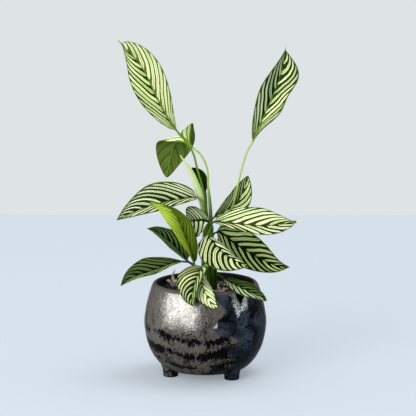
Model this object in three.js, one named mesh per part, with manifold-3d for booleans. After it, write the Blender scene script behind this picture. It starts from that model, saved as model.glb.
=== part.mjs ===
// Potted calathea vittata: a glazed bowl pot on three stubby feet, its soil, and the leaves that stand in it.
// Millimetres, +Z up, with the viewer at -Y. All places below are from the point on the ground under the pot's axis.
// The whole is then moved so that its origin is on the ground under the middle of its overall box.
import * as THREE from "three";
import { mergeVertices } from "three/addons/utils/BufferGeometryUtils.js";
import Module from "manifold-3d";

const wasm = await Module();
wasm.setup();

const MIDDLE_FROM_AXIS = [5.9, -7.3]; // the overall box's middle, from the pot's axis

// Pot
const POT_WIDEST = 86; // radius of the belly
const POT_WIDEST_Z = 74;
const POT_UNDERSIDE_Z = 8;
const POT_BASE_RADIUS = 46;
const RIM_OUTER = 74.5; // radius where the rim turns into the wall
const RIM_INNER = 66.5;
const RIM_TOP_Z = 132;
const POT_WALL = 7;
const POT_FLOOR_Z = 18; // top of the pot's floor
const FOOT_ORBIT = 51.5; // from the pot's axis to a foot's middle
const FOOT_SOLE = 9.5; // radius of the flat that touches the ground
const FOOT_ROOT = 13.5; // radius where a foot grows out of the bowl
const FOOT_ROOT_Z = 17.5;
const FOOT_ANGLES = [-161, -44, 79]; // degrees from +X
const TURNED_SIDES = 40; // facets round the pot and the soil

// Soil
const SOIL_Z = 119;
const SOIL_MOUND = 4; // how much higher the soil is in the middle
const GAP = 0.3; // clearance between pieces that touch

// Leaves
const STALK_RADIUS = 1.35;
const STALK_FOOT_RADIUS = 1.75;
const STALK_FOOT_Z = 104; // the stalks' lower ends, deep in the soil
const BLADE_HALF_THICKNESS = 0.4;
const MIDRIB_DEPTH = 0.9; // how far the midrib stands out of the blade's underside
const BLADE_BULGE = 0.07; // how far each half arches, as a share of its width
const LEAST_HALF_WIDTH = 0.8; // of a blade or its drip tip
const BLADE_STEPS = 12;
const ACROSS = 7; // points across each face
const FLAT_BY = 0.05; // share of the blade's length at each end over which it folds up from flat

const COLOURS = {
  glaze: { color: 0x5a5450, roughness: 0.3, metalness: 0.35 },
  soil: { color: 0x2b211b, roughness: 0.95, metalness: 0 },
  striped: { color: 0x5c8a3c, roughness: 0.45, metalness: 0 },
  new_leaf: { color: 0x9ccc2c, roughness: 0.4, metalness: 0 },
  spear: { color: 0xc9dc9a, roughness: 0.45, metalness: 0 },
  sheath: { color: 0x66784f, roughness: 0.55, metalness: 0 },
  dry: { color: 0x8f7f6c, roughness: 0.9, metalness: 0 },
};

// Each leaf: the hole its stalk stands in, the way its stalk and then its midrib run, its left and right halves (the
// width, where along the blade it is widest, how lean its outline is at the base and at the tip), its drip tip (the
// share of the length, and half its width at its root), where its right half points from the base to the tip, how far
// its halves fold up from flat in degrees at the base and at the tip, and its edge's waves: their height, how many,
// and where they start.
const LEAVES = {
  leaf_tall_left: {
    hole: [2, -5],
    stalk: [[2.5, -5, 170], [3.2, -4, 224], [-4, -5, 268], [-11, -7, 293], [-17, -9, 317], [-27, -11, 333]],
    midrib: [[-39, -12, 348], [-54, -11, 371], [-68, -8, 397], [-81, -2, 424], [-94, 4, 444],
      [-121, 12, 472]],
    halves: [[26, 0.52, 0.72, 1.15], [26, 0.58, 0.75, 0.5]], drip: [0.04, 0.9],
    right: [[0.84, -0.05, 0.54], [0.8, 0, 0.6]], fold: [22, 12], waves: [0.8, 2, 0],
  },
  leaf_folded: {
    hole: [3.5, -0.5],
    stalk: [[5, 1, 170], [6.5, 2, 223], [4, 3, 267], [3, 5, 291], [-1, 6, 303], [-8, 8, 314]],
    midrib: [[-16, 10, 320], [-25, 17, 329], [-34, 28, 336], [-39, 39, 333], [-44, 49, 320],
      [-49, 54, 301], [-55, 50, 272]],
    halves: [[25, 0.56, 1.6, 1], [28.5, 0.45, 2.4, 0.9]], drip: [0, 0],
    right: [[0.7, 0.1, 0.7], [0.74, 0.08, 0.67], [0.85, 0.1, 0.5], [0.97, 0.1, 0.15], [1, 0.05, 0.05],
      [1, 0, 0]], fold: [4, 0], waves: [0.4, 2, 1],
  },
  leaf_tall_right: {
    hole: [12.5, 2],
    stalk: [[13.5, 5, 150], [19, 13, 185], [28, 19, 215], [39, 24, 237], [48, 28, 275], [59, 31, 313]],
    midrib: [[66, 32, 325], [74, 34, 344], [85, 38, 368], [96, 44, 393], [107, 50, 424], [114, 60, 463]],
    halves: [[25, 0.62, 0.85, 0.95], [27, 0.63, 0.8, 0.85]], drip: [0.07, 0.7],
    right: [[0.91, -0.21, -0.36], [0.92, 0.03, -0.39], [0.76, 0.59, -0.28]], fold: [28, 30],
      waves: [0.7, 2, 2],
  },
  leaf_upright_back: {
    hole: [4, 9.5],
    stalk: [[6, 12, 160], [7, 15, 198], [8, 18, 213]],
    midrib: [[12, 21, 220], [24, 30, 225], [36, 42, 230], [46, 51, 237], [55, 62, 254], [61, 72, 271]],
    halves: [[18, 0.5, 0.8, 0.8], [18, 0.5, 0.7, 0.9]], drip: [0, 0],
    right: [[0.53, -0.2, -0.82], [0.74, -0.13, -0.66], [0.96, -0.06, -0.28]],
      fold: [32, 24], waves: [0.8, 2, 0],
  },
  leaf_big_right: {
    hole: [9.5, -4],
    stalk: [[10, -5, 170], [7.4, -5.4, 200], [7.4, -6.4, 211]],
    midrib: [[10, -8, 218], [30, -16, 219], [53, -22, 218], [85, -29, 217.5], [117, -32, 222],
      [136, -32, 225.5]],
    halves: [[27, 0.5, 0.7, 0.95], [25, 0.66, 0.5, 0.6]], drip: [0.09, 2.6],
    right: [[-0.2, -0.74, -0.62], [0.09, -0.77, -0.63]], fold: [26, 18], waves: [0.8, 2, 1],
  },
  leaf_lower_right: {
    hole: [15.5, -3],
    stalk: [[15, -1, 150], [12.5, 1, 180], [11, 1, 191], [11, 0, 199]],
    midrib: [[15, -2, 203], [24, -4, 202], [38, -5, 190.5], [71, -6, 170], [98, -10, 158], [118, -15, 156]],
    halves: [[26, 0.37, 0.6, 1], [25, 0.37, 0.55, 0.9]], drip: [0, 0],
    right: [[-0.37, -0.31, -0.88], [-0.5, -0.2, -0.84], [-0.07, 0, -1]], fold: [18, 14], waves: [0.8, 2, 2],
  },
  leaf_front: {
    hole: [9, -11],
    stalk: [[9.5, -14, 170], [10, -21, 206], [8, -30, 215]],
    midrib: [[4, -36, 206], [12, -49, 198], [21, -60, 190], [32, -71, 182.5], [45, -80, 177], [60, -88, 172]],
    halves: [[22, 0.3, 0.35, 0.9], [29, 0.38, 0.5, 0.9]], drip: [0, 0],
    right: [[-0.86, -0.51, -0.05], [-0.71, -0.65, -0.27], [-0.46, -0.8, -0.39]],
      fold: [-29, -26], waves: [0.8, 2, 0],
  },
  leaf_front_low_left: {
    hole: [0, -14],
    stalk: [[2, -15, 146], [2.5, -21, 161]],
    midrib: [[-2, -33, 161], [-7, -48, 157], [-12, -66, 149], [-16, -80, 138], [-18, -88, 128],
      [-17, -92, 117]],
    halves: [[27, 0.48, 0.7, 0.7], [27, 0.48, 0.6, 0.8]], drip: [0, 0],
    right: [[-0.9, 0.36, -0.23], [-0.67, 0.66, -0.32]], fold: [30, 26], waves: [0.8, 2, 1],
  },
  leaf_front_low_right: {
    hole: [5, -15],
    stalk: [[5.5, -16, 138], [4, -24, 151]],
    midrib: [[-3, -38, 157], [-5, -54, 152], [-4, -70, 145], [-2, -84, 138], [4, -92, 129],
      [10, -97, 121], [17, -100, 115]],
    halves: [[15, 0.5, 0.7, 0.7], [16, 0.5, 0.6, 0.8]], drip: [0, 0],
    right: [[-0.92, 0.04, 0.39], [-0.99, -0.09, -0.13], [-0.7, -0.24, -0.68]],
      fold: [-31, -28], waves: [0.8, 2, 2],
  },
  leaf_low_left: {
    hole: [-8.5, -6.5],
    stalk: [[-10, -9, 145], [-17, -15, 160]],
    midrib: [[-29, -20, 165], [-48, -26, 163], [-75, -34, 154], [-101, -39, 146], [-118, -40, 135]],
    halves: [[19, 0.5, 0.8, 0.9], [21, 0.55, 1.1, 0.9]], drip: [0, 0],
    right: [[-0.33, 0.81, 0.49], [-0.34, 0.82, 0.46]], fold: [32, 28], waves: [0.8, 2, 0],
  },
  leaf_mid_left: {
    hole: [-5.5, 1.5],
    stalk: [[-8, 2, 142], [-14, 3, 152]],
    midrib: [[-25, 5, 161], [-43, 10, 180], [-57, 13, 192], [-70, 16, 201], [-82, 18, 205]],
    halves: [[20, 0.45, 0.7, 1], [21, 0.42, 0.6, 1]], drip: [0, 0],
    right: [[0.49, 0.84, 0.23], [0.33, 0.87, 0.37]], fold: [24, 20], waves: [0.8, 2, 1],
  },
  leaf_new: {
    hole: [-4, -10],
    stalk: [[-5, -12, 137], [-10, -20, 150]],
    midrib: [[-15, -27, 162], [-22, -37, 187], [-30, -46, 210], [-37, -53, 230], [-47, -59, 246],
      [-60, -63, 255], [-77, -66, 259]],
    halves: [[19, 0.55, 0.65, 0.85], [17, 0.5, 0.65, 0.95]], drip: [0, 0],
    right: [[0.56, 0.67, 0.5], [0.86, 0.26, 0.44], [0.26, -0.75, 0.61]], fold: [40, 40], waves: [0.5, 2, 2],
  },
  leaf_arching_left: {
    hole: [-4, -4.5],
    stalk: [[-4, -4.5, 170], [-2, -4, 215], [-2.5, -4.5, 238], [-5, -6, 248]],
    midrib: [[-10, -8, 253], [-35, -11, 252], [-65, -13, 246], [-89, -12, 238], [-106, -10, 231],
      [-124, -8, 222]],
    halves: [[33, 0.42, 0.75, 0.95], [30, 0.44, 0.75, 0.95]], drip: [0, 0],
    right: [[-0.08, 0.8, 0.6], [-0.2, 0.78, 0.59]], fold: [34, 28], waves: [0.8, 2, 0],
  },
  leaf_centre: {
    hole: [4.5, -9.5],
    stalk: [[5, -11, 170], [9, -14, 200], [10, -16, 214]],
    midrib: [[5, -18, 221], [-2, -21, 224], [-11, -26, 225], [-19, -34, 225], [-24, -44, 224]],
    halves: [[25, 0.45, 0.75, 0.6], [22, 0.5, 0.55, 0.5]], drip: [0, 0],
    right: [[0.2, 0.5, 0.8], [-0.11, 0.18, 0.98], [0, -0.1, 1]], fold: [-24, -20], waves: [0.8, 2, 1],
  },
  leaf_over_rim: {
    hole: [13.5, -7.5],
    stalk: [[15, -10, 136], [18, -15, 144]],
    midrib: [[25, -24, 142], [37, -40, 138], [50, -56, 135], [62, -66, 131], [74, -72, 127], [85, -76, 121]],
    halves: [[18, 0.52, 0.5, 0.7], [20, 0.62, 0.6, 0.7]], drip: [0, 0],
    right: [[-0.81, -0.57, -0.15], [-0.72, -0.67, -0.17], [-0.42, -0.89, -0.19]],
      fold: [12, 10], waves: [0.8, 2, 2],
  },
  leaf_small_back: {
    hole: [0.5, 4.5],
    stalk: [[1.5, 7, 170], [2, 11, 230]],
    midrib: [[0, 13, 258], [-4, 15, 270], [-9, 16, 282], [-19, 17, 292]],
    halves: [[9, 0.5, 0.8, 0.8], [9, 0.5, 0.8, 0.8]], drip: [0, 0],
    right: [[0.9, 0.2, 0.4], [0.8, 0.2, 0.6]], fold: [20, 16], waves: [0.3, 2, 0],
  },
};

// Pieces that are a rod of changing thickness: the way they run, and their radius along it.
const RODS = {
  spear: {
    hole: [-1, -0.5], colour: "spear", squeeze: 0.55,
    path: [[-1, 0, 170], [-1, 0, 228], [-5.5, 0, 251], [-11, 0, 267], [-19, 1, 287], [-27, 2, 300],
      [-35, 3, 312]],
    radii: [1.75, 1.8, 1.9, 2.6, 4, 5, 3.6, 0.5],
  },
  sheath: {
    hole: [7.3, 4.5], colour: "sheath", squeeze: 0.7,
    path: [[7.3, 5, 170], [8.3, 6.5, 222], [6.8, 7, 250], [4.8, 7.5, 268]],
    radii: [2.2, 2.4, 2.6, 2, 0.5],
  },
};

// Dried stalk remains: a root in a hole, and the strands that stand up from it, each as the places it runs through
// from the root and its radius.
const DRY_STUBS = {
  dry_stub_left: {
    hole: [-45, 18],
    strands: [
      { path: [[0, 0, 0], [1, 1, 8], [-1, 2, 15], [2, 3, 24]], radius: 2.2 },
      { path: [[0, 0, 2], [-5, -2, 7], [-9, -1, 9]], radius: 1.8 },
      { path: [[1, 1, 6], [6, -2, 10], [8, -4, 17]], radius: 1.6 },
      { path: [[0, 1, 3], [7, -1, 3.5], [13, -4, 3]], radius: 1.7 },
    ],
  },
  dry_stub_right: {
    hole: [22, -36],
    strands: [
      { path: [[0, 0, 0], [-1, 0, 5], [-4, 1, 9], [-4, 2, 13]], radius: 2 },
      { path: [[0, 0, 2], [4, 1, 6], [9, 0, 8]], radius: 1.8 },
      { path: [[-1, 0, 3], [-7, -1, 4], [-11, 1, 5]], radius: 1.6 },
    ],
  },
};

/** A closed geometry as a solid that can be joined and cut. */
function toSolid(geometry) {
  geometry.deleteAttribute("normal");
  geometry.deleteAttribute("uv");
  const merged = mergeVertices(geometry);
  return new wasm.Manifold(new wasm.Mesh({
    numProp: 3,
    vertProperties: new Float32Array(merged.attributes.position.array),
    triVerts: new Uint32Array(merged.index.array),
  }));
}

/** A solid back as a geometry. */
function toGeometry(solid) {
  const mesh = solid.getMesh();
  const geometry = new THREE.BufferGeometry();
  geometry.setAttribute("position", new THREE.BufferAttribute(new Float32Array(mesh.vertProperties), 3));
  geometry.setIndex(new THREE.BufferAttribute(new Uint32Array(mesh.triVerts), 1));
  return geometry;
}

/** A turned shape about +Z from its [radius, height] outline, which starts and ends on the axis. */
function turned(outline, sides) {
  const points = outline.map(([radius, z]) => new THREE.Vector2(radius, z));
  return new THREE.LatheGeometry(points, sides).rotateX(Math.PI / 2);
}

/** Evenly spaced points along a smooth curve through the given [radius, height] points. */
function smooth(points, count) {
  const curve = new THREE.SplineCurve(points.map(([radius, z]) => new THREE.Vector2(radius, z)));
  return curve.getSpacedPoints(count).map((point) => [point.x, point.y]);
}

/** The bowl's inner wall from the floor up to the rim's inner edge, moved inwards by the inset. */
function innerWall(inset) {
  const wall = POT_WALL + inset;
  return smooth([
    [POT_BASE_RADIUS - 4 - inset, POT_FLOOR_Z + inset],
    [POT_WIDEST - wall - 11, 40],
    [POT_WIDEST - wall, POT_WIDEST_Z],
    [POT_WIDEST - wall - 7, 108],
    [RIM_INNER - inset, RIM_TOP_Z - 2],
  ], 9);
}

/** One foot: a short cone with a rounded sole, its root sunk in the bowl's wall. */
function footSolid(angle) {
  const outline = [[0, 0], [FOOT_SOLE - 1.5, 0], [FOOT_SOLE, 1.5], [FOOT_ROOT, FOOT_ROOT_Z], [0, FOOT_ROOT_Z]];
  const radians = THREE.MathUtils.degToRad(angle);
  return toSolid(turned(outline, 16))
    .translate([FOOT_ORBIT * Math.cos(radians), FOOT_ORBIT * Math.sin(radians), 0]);
}

/** The pot: outer bowl and feet as one, less the hollow inside. */
function potGeometry() {
  const belly = smooth([
    [POT_BASE_RADIUS, POT_UNDERSIDE_Z],
    [56, 11],
    [68, 21],
    [80, 42],
    [POT_WIDEST, POT_WIDEST_Z],
    [84, 94],
    [80.5, 110],
    [RIM_OUTER + 2.5, 122],
    [RIM_OUTER, 129],
  ], 15);
  const lip = [[RIM_OUTER - 2, RIM_TOP_Z - 1], [RIM_INNER + 3.5, RIM_TOP_Z], [RIM_INNER + 1, RIM_TOP_Z - 0.6]];
  const bowl = turned([[0, POT_UNDERSIDE_Z], ...belly, ...lip, [0, RIM_TOP_Z - 0.6]], TURNED_SIDES);
  const above = RIM_TOP_Z + 5;
  const hollow = turned([[0, POT_FLOOR_Z], ...innerWall(0), [RIM_INNER, above], [0, above]], TURNED_SIDES);
  let pot = toSolid(bowl);
  for (const angle of FOOT_ANGLES) pot = pot.add(footSolid(angle));
  return toGeometry(pot.subtract(toSolid(hollow)));
}

/** Height of the soil's surface: a low mound with lumps. */
function soilHeight(x, y) {
  const spread = Math.hypot(x, y) / RIM_INNER;
  const lumps = Math.sin(0.31 * x + 1.3) * Math.cos(0.27 * y) + 0.6 * Math.sin(0.55 * y + 0.4 * x);
  return SOIL_Z + SOIL_MOUND * (1 - spread * spread) + lumps;
}

/** Every stem's place in the soil and its radius there. */
function stemHoles() {
  const stalks = Object.values(LEAVES).map(({ hole }) => ({ hole, radius: STALK_FOOT_RADIUS }));
  const rods = Object.values(RODS).map(({ hole, radii }) => ({ hole, radius: radii[0] }));
  const stubs = Object.values(DRY_STUBS).map(({ hole, strands }) => ({ hole, radius: strands[0].radius }));
  return [...stalks, ...rods, ...stubs];
}

/** The soil: what the bowl holds under a mounded surface, with a plain hole for each stem. */
function soilGeometry() {
  const filling = turned([[0, POT_FLOOR_Z + GAP], ...innerWall(GAP), [0, RIM_TOP_Z - 2]], TURNED_SIDES);
  const rings = 5;
  const surface = Array.from({ length: rings }, (_, i) => [(POT_WIDEST * (rings - i)) / rings, SOIL_Z]);
  const mound = turned([[0, 0], [POT_WIDEST, 0], ...surface, [0, SOIL_Z]], TURNED_SIDES);
  const places = mound.attributes.position;
  for (let i = 0; i < places.count; i += 1) {
    if (places.getZ(i) > SOIL_Z - 1) places.setZ(i, soilHeight(places.getX(i), places.getY(i)));
  }
  let soil = toSolid(filling).intersect(toSolid(mound));
  const length = 40;
  const middle = STALK_FOOT_Z - GAP + length / 2;
  for (const { hole, radius } of stemHoles()) {
    const socket = new THREE.CylinderGeometry(radius + GAP, radius + GAP, length, 10).rotateX(Math.PI / 2);
    soil = soil.subtract(toSolid(socket).translate([hole[0], hole[1], middle]));
  }
  return toGeometry(soil);
}

const mix = (a, b, t) => a + (b - a) * t;

/** A direction made square to a heading. */
function squareTo(heading, direction) {
  return direction.clone().addScaledVector(heading, -direction.dot(heading)).normalize();
}

/** The direction at share u, where the given ones are evenly spread from 0 to 1. */
function directionAt(directions, u) {
  const last = directions.length - 1;
  const low = Math.min(Math.floor(u * last), last - 1);
  const [from, to] = [low, low + 1].map((i) => new THREE.Vector3(...directions[i]));
  return from.lerp(to, u * last - low);
}

/** A smooth line through points, with its length up to each of them. */
function measuredLine(points) {
  const line = new THREE.CatmullRomCurve3(points.map((point) => new THREE.Vector3(...point)));
  const pieces = 60;
  line.arcLengthDivisions = pieces * (points.length - 1);
  const all = line.getLengths();
  return { line, lengths: points.map((_, i) => all[i * pieces]), total: all[all.length - 1] };
}

/** Place and heading at the given shares of the way from one of a line's points to another. */
function stations({ line, lengths, total }, from, to, shares) {
  return shares.map((share) => {
    const at = mix(lengths[from], lengths[to], share) / total;
    return { place: line.getPointAt(at), heading: line.getTangentAt(at) };
  });
}

/** Shares from 0 to 1, a little closer together at both ends. */
function easedShares(count) {
  return Array.from({ length: count + 1 }, (_, i) => {
    const even = i / count;
    return 0.6 * even + 0.4 * (0.5 - 0.5 * Math.cos(Math.PI * even));
  });
}

/** Width of a half (0 left, 1 right) at share u: a sine hump, then a drip tip that narrows evenly. */
function halfWidth(leaf, half, u) {
  const [greatest, widest, leanBase, leanTip] = leaf.halves[half];
  const [drip, root] = leaf.drip;
  const power = Math.log(0.5) / Math.log(widest);
  const along = Math.min(u / (1 - drip), 1);
  const hump = greatest * Math.max(Math.sin(Math.PI * along ** power), 0) ** mix(leanBase, leanTip, along);
  const tail = root * Math.min((1 - u) / Math.max(drip, FLAT_BY), 1);
  return Math.max(hump, tail, mix(STALK_RADIUS, LEAST_HALF_WIDTH, Math.min(4 * u, 1)));
}

/** One round ring of a stalk, with as many points as a blade's ring has. */
function stalkRing({ place, heading }, right, radius) {
  const up = new THREE.Vector3().crossVectors(right, heading);
  return Array.from({ length: 2 * ACROSS }, (_, k) => {
    const turn = Math.PI - (Math.PI * (k + 0.5)) / ACROSS;
    return place.clone()
      .addScaledVector(right, radius * Math.cos(turn))
      .addScaledVector(up, radius * Math.sin(turn));
  });
}

/** One ring of a blade at share u: its upper face from left to right, then its lower face back. */
function bladeRing(leaf, { place, heading }, right, u) {
  const up = new THREE.Vector3().crossVectors(right, heading);
  const flat = Math.min(u / FLAT_BY, (1 - u) / FLAT_BY, 1);
  const fold = flat * THREE.MathUtils.degToRad(mix(leaf.fold[0], leaf.fold[1], u));
  const widths = [halfWidth(leaf, 0, u), halfWidth(leaf, 1, u)];
  const [height, count, phase] = leaf.waves;
  const middle = (ACROSS - 1) / 2;
  const upper = [];
  const lower = [];
  for (let k = 0; k < ACROSS; k += 1) {
    const side = Math.sign(k - middle);
    const width = widths[side > 0 ? 1 : 0];
    const share = Math.abs(k - middle) / middle;
    const ripple = Math.sin(2 * Math.PI * count * u + phase + side);
    const wave = height * share * share * Math.sin(Math.PI * u) * ripple;
    const lift = share * width * Math.sin(fold) + 4 * BLADE_BULGE * width * share * (1 - share) + wave;
    const spot = place.clone()
      .addScaledVector(right, side * share * width * Math.cos(fold))
      .addScaledVector(up, lift);
    const face = up.clone().multiplyScalar(Math.cos(fold)).addScaledVector(right, -side * Math.sin(fold));
    const rib = side === 0 ? MIDRIB_DEPTH * (1 - u) : 0;
    upper.push(spot.clone().addScaledVector(face, BLADE_HALF_THICKNESS));
    lower.push(spot.clone().addScaledVector(face, -BLADE_HALF_THICKNESS - rib));
  }
  return [...upper, ...lower.reverse()];
}

/** Rings joined into one closed body. Both faces are split alike, on the slant of a blade's side veins. */
function skin(rings) {
  const around = rings[0].length;
  const half = around / 2;
  const triangles = [];
  for (let j = 0; j + 1 < rings.length; j += 1) {
    for (let k = 0; k < around; k += 1) {
      const next = (k + 1) % around;
      const [a, b] = [j * around + k, j * around + next];
      const [c, d] = [b + around, a + around];
      const isUpper = k < half;
      const isLeft = (isUpper ? k : around - 2 - k) < (half - 1) / 2;
      if (isUpper === isLeft) triangles.push(a, b, d, b, c, d);
      else triangles.push(a, b, c, a, c, d);
    }
  }
  const last = (rings.length - 1) * around;
  for (let k = 0; k + 1 < half; k += 1) {
    const [a, b, c, d] = [k, k + 1, around - 2 - k, around - 1 - k];
    triangles.push(b, a, c, c, a, d);
    triangles.push(last + a, last + b, last + c, last + a, last + c, last + d);
  }
  const geometry = new THREE.BufferGeometry();
  const places = rings.flat().flatMap((point) => [point.x, point.y, point.z]);
  geometry.setAttribute("position", new THREE.BufferAttribute(new Float32Array(places), 3));
  geometry.setIndex(triangles);
  return geometry;
}

/** A leaf: its stalk and blade are one skin, round along the stalk and flat along the blade. */
function leafGeometry(leaf) {
  const [x, y] = leaf.hole;
  const points = [[x, y, STALK_FOOT_Z], [x, y, SOIL_Z + 3], ...leaf.stalk, ...leaf.midrib];
  const base = points.length - leaf.midrib.length;
  const line = measuredLine(points);
  const shares = easedShares(BLADE_STEPS);
  const blade = stations(line, base, points.length - 1, shares).map((station, i) => {
    const right = squareTo(station.heading, directionAt(leaf.right, shares[i]));
    return bladeRing(leaf, station, right, shares[i]);
  });
  const stalk = stations(line, 0, 1, [0]);
  for (let i = 1; i < base; i += 1) stalk.push(...stations(line, i, i + 1, [0, 0.5]));
  let right = directionAt(leaf.right, 0);
  const stalkRings = stalk.reverse().map((station, i) => {
    right = squareTo(station.heading, right);
    return stalkRing(station, right, mix(STALK_RADIUS, STALK_FOOT_RADIUS, i / (stalk.length - 1)));
  });
  return skin([...stalkRings.reverse(), ...blade]);
}

/** A closed rod along a way, whose radius runs through the given ones, squeezed front to back. */
function rodGeometry(path, radii, squeeze, steps) {
  const line = measuredLine(path);
  const shares = Array.from({ length: steps + 1 }, (_, i) => i / steps);
  const last = radii.length - 1;
  const sides = 10;
  return skin(stations(line, 0, path.length - 1, shares).map(({ place, heading }, i) => {
    const low = Math.min(Math.floor(shares[i] * last), last - 1);
    const radius = mix(radii[low], radii[low + 1], shares[i] * last - low);
    const right = squareTo(heading, new THREE.Vector3(1, 0.1, 0));
    const up = new THREE.Vector3().crossVectors(right, heading);
    const depth = place.z < SOIL_Z + SOIL_MOUND + 2 ? 1 : squeeze;
    return Array.from({ length: sides }, (_, k) => {
      const turn = Math.PI - (2 * Math.PI * (k + 0.5)) / sides;
      return place.clone()
        .addScaledVector(right, radius * Math.cos(turn))
        .addScaledVector(up, radius * depth * Math.sin(turn));
    });
  }));
}

/** A rolled leaf or a sheath, which stands in its hole. */
function standingRod({ hole: [x, y], path, radii, squeeze }) {
  return rodGeometry([[x, y, STALK_FOOT_Z], [x, y, SOIL_Z + 3], ...path], radii, squeeze, 14);
}

/** A dried stub: its first strand stands in the hole, and the others grow out of it. */
function stubGeometry({ hole: [x, y], strands }) {
  const ground = soilHeight(x, y) + 1;
  const solids = strands.map(({ path, radius }, i) => {
    const places = path.map(([dx, dy, dz]) => [x + dx, y + dy, ground + dz]);
    const route = i === 0 ? [[x, y, STALK_FOOT_Z], ...places] : places;
    return toSolid(rodGeometry(route, [radius, radius, radius * 0.8, radius * 0.35], 1, 6));
  });
  return toGeometry(solids.reduce((whole, strand) => whole.add(strand)));
}

/** A named mesh in one of the object's colours. */
function piece(name, geometry, colour) {
  geometry.computeVertexNormals();
  const mesh = new THREE.Mesh(geometry, new THREE.MeshStandardMaterial(COLOURS[colour]));
  mesh.name = name;
  return mesh;
}

const grown = new THREE.Group();
grown.position.set(-MIDDLE_FROM_AXIS[0], -MIDDLE_FROM_AXIS[1], 0);
grown.add(piece("pot", potGeometry(), "glaze"));
grown.add(piece("soil", soilGeometry(), "soil"));
for (const [name, leaf] of Object.entries(LEAVES)) {
  grown.add(piece(name, leafGeometry(leaf), name === "leaf_new" ? "new_leaf" : "striped"));
}
for (const [name, rod] of Object.entries(RODS)) grown.add(piece(name, standingRod(rod), rod.colour));
for (const [name, stub] of Object.entries(DRY_STUBS)) grown.add(piece(name, stubGeometry(stub), "dry"));

const plant = new THREE.Group();
plant.add(grown);

export default plant;
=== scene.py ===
"""A potted calathea vittata: striped leaves on thin stalks, in a glazed bowl pot on three stubby feet.

Every surface is a function on a grid, worked out as whole arrays. The tables are in millimetres from the
point on the ground under the pot's axis, and MM turns them into the metres of the scene.
"""
import math
from collections import namedtuple
import bpy
import numpy as np
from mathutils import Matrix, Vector


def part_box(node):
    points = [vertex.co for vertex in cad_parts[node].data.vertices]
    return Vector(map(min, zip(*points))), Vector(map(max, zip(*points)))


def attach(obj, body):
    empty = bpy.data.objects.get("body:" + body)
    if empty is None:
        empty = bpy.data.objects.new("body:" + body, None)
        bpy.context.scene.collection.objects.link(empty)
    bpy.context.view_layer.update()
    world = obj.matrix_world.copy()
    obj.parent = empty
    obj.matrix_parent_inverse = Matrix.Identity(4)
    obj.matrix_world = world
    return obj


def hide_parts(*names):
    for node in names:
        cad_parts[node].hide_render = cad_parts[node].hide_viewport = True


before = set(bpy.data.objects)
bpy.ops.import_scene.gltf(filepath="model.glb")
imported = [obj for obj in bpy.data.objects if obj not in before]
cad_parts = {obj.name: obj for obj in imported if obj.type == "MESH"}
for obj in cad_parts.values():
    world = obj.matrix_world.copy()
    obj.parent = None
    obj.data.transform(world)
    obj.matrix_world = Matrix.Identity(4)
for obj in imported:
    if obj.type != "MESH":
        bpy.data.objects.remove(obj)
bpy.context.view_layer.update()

bl_info = {
    "name": "Potted calathea vittata",
    "version": (1, 0, 0),
    "blender": (4, 5, 0),
    "location": "3D View > Sidebar > Calathea",
    "description": "A striped prayer plant in a glazed bowl pot",
    "category": "Add Mesh",
}

MM = 0.001
POT_LOW, POT_HIGH = (np.array(corner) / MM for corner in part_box("pot"))
AXIS = np.array([*(POT_LOW + POT_HIGH)[:2] / 2, 0])  # the pot's axis on the ground

# Pot
POT_WIDEST = (POT_HIGH - POT_LOW)[0] / 2  # radius of the belly
RIM_TOP_Z = POT_HIGH[2]
POT_WIDEST_Z = 74
POT_UNDERSIDE_Z = 8
POT_BASE_RADIUS = 46
RIM_OUTER = 74.5
RIM_INNER = 66.5
LIP_DEPTH = 3.2  # from the rim's top to where the straight inner wall starts
POT_WALL = 7
POT_FLOOR_Z = 18
FLOOR_INSET = 4  # how much narrower the pot's floor is inside than its underside
POT_SIDES = 180
BELLY_RINGS = 110
WALL_RINGS = 40
FOOT_ORBIT = 51.5  # from the pot's axis to a foot's middle
FOOT_SOLE = 10.6  # radius just above the sole's rounded edge
FOOT_ROOT = 13.7  # radius where the foot grows out of the bowl
FOOT_ROOT_Z = 17.5
FOOT_ANGLES = (-161, -44, 79)  # degrees from +X
FOOT_SIDES = 48
GLAZE_BANDS = ((73, 8, 0.8), (52, 12, 1), (31, 6, 0.9))  # height of the upper edge, reach down, strength

# Soil
SOIL_Z = 119
SOIL_MOUND = 4  # how much higher the soil is in the middle
SOIL_TOP_RINGS = 60
SOIL_SIDES = 150
GAP = 0.3  # between the soil and the pot
LUMP_SIDES = 6
CHIP_SIZE = [3.4, 1.3, 0.9]
FLAKE_SIZE = [1.8, 1.1, 0.7]

# Stems and leaves
STALK_RADIUS = 1.35
STALK_FOOT_RADIUS = 1.75
STALK_FOOT_Z = 104  # the stems' lower ends, deep in the soil
STRAIGHT_RISE = 3  # how far a stem goes straight up above the soil
TIP_HALF_WIDTH = 0.55
MIDRIB_RISE = 0.15  # how far the midrib stands out above the blade at its base
MIDRIB_DEPTH = 0.9  # and below it
BLADE_BULGE = 0.07  # how far a half bows up between midrib and margin, as a share of its width
TUBE_BY = 0.06  # share of the blade's length where the round stalk becomes flat
FLAT_BY = 0.05  # share where the fold starts, and where it ends at the tip
WAIST_AT = 0.57  # share where a half with a waist is narrowest
EDGE_WAVES = 2
BLADE_STATIONS = 112
STALK_STATIONS = 44
ACROSS = 33
ROD_STATIONS = 90
ROD_SIDES = 28
STRAND_STATIONS = 26
STRAND_SIDES = 14
STRAND_TAPER = (1, 1, 0.8, 0.35)
STUB_SEED = 11
STUB_FLAKES = 22

# Each half of a leaf: its width, where it is widest, how lean its outline is at base and tip, how many side
# veins it has, the share of the blade's length that they gain on their way to the margin, the share of their
# spacing that the dark lines take, the colours of its pale stripes and dark lines, and how deep its waist is.
# The two colours also hold painted light: they are darker on halves that lie in shade, and greyer on halves
# that mirror the sky, as a painted sheen.
Half = namedtuple("Half", "width widest lean veins gain dark_share pale dark waist", defaults=[0])

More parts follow.
